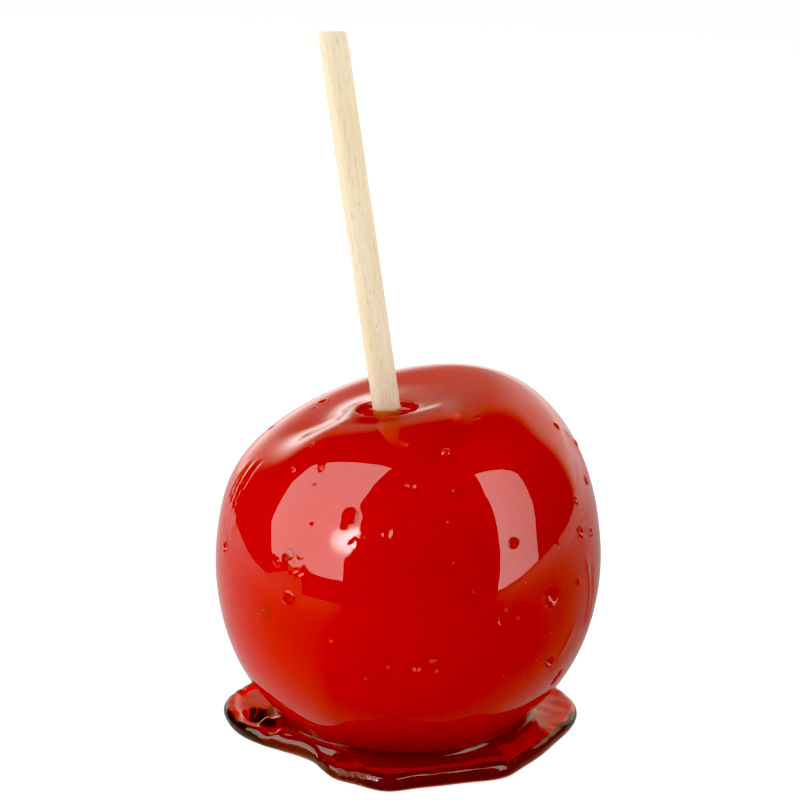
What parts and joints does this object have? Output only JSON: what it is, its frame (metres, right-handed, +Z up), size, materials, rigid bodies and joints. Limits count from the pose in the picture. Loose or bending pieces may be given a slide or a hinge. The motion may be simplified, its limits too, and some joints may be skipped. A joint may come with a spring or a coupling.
{
  "type": "toffee apple",
  "caption": "Whole apple in glossy clear red toffee, pushed onto a wooden stick and standing on the flat foot of set toffee that ran off it.",
  "frame": {"origin": "on the flat underside of the toffee foot, below the middle of the apple", "axes": "+Z up; -Y to the front, the side with the widest lip of the foot; the stick leans towards -X"},
  "size_m": [0.0849, 0.0855, 0.1579],
  "materials": {
    "stick": "plain sanded beech dowel, unfinished",
    "apple": "red apple skin, seen only through the toffee",
    "toffee": "hard-crack sugar toffee, clear deep red, mirror gloss"
  },
  "bodies": {
    "root": {"stick": "stick", "apple": "apple", "toffee": "toffee"}
  },
  "joints": []
}
